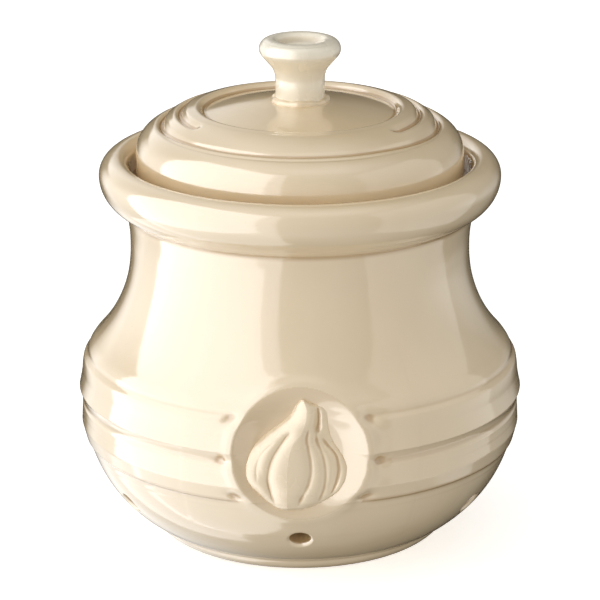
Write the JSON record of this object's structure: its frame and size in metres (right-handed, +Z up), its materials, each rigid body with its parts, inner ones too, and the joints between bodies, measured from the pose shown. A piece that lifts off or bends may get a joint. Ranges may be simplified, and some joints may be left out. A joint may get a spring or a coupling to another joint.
{
  "type": "garlic keeper",
  "caption": "Round-bellied glazed stoneware keeper with air vents low in its wall, raised bands, a garlic medallion, a rolled rim, and a lift-off lid with a turned knob.",
  "frame": {"origin": "centre of the base, on the plane that the pot's foot ring stands on", "axes": "+Z up along the axis that the pot and the lid are turned about; -Y is the front, with the garlic medallion; +X is to the right for someone facing the front"},
  "size_m": [0.1316, 0.1303, 0.1485],
  "materials": {
    "glaze": "gloss",
    "pooled_glaze": "gloss"
  },
  "bodies": {
    "pot": {"pot": "glaze", "garlic_relief": "pooled_glaze"},
    "lid": {"lid": "glaze", "knob": "glaze", "slip_bead": "pooled_glaze"}
  },
  "joints": [
    {"name": "lid_lift", "type": "slide", "parent": "pot", "child": "lid", "axis": [0, 0, 1], "range_m": [0, 0.08]}
  ]
}
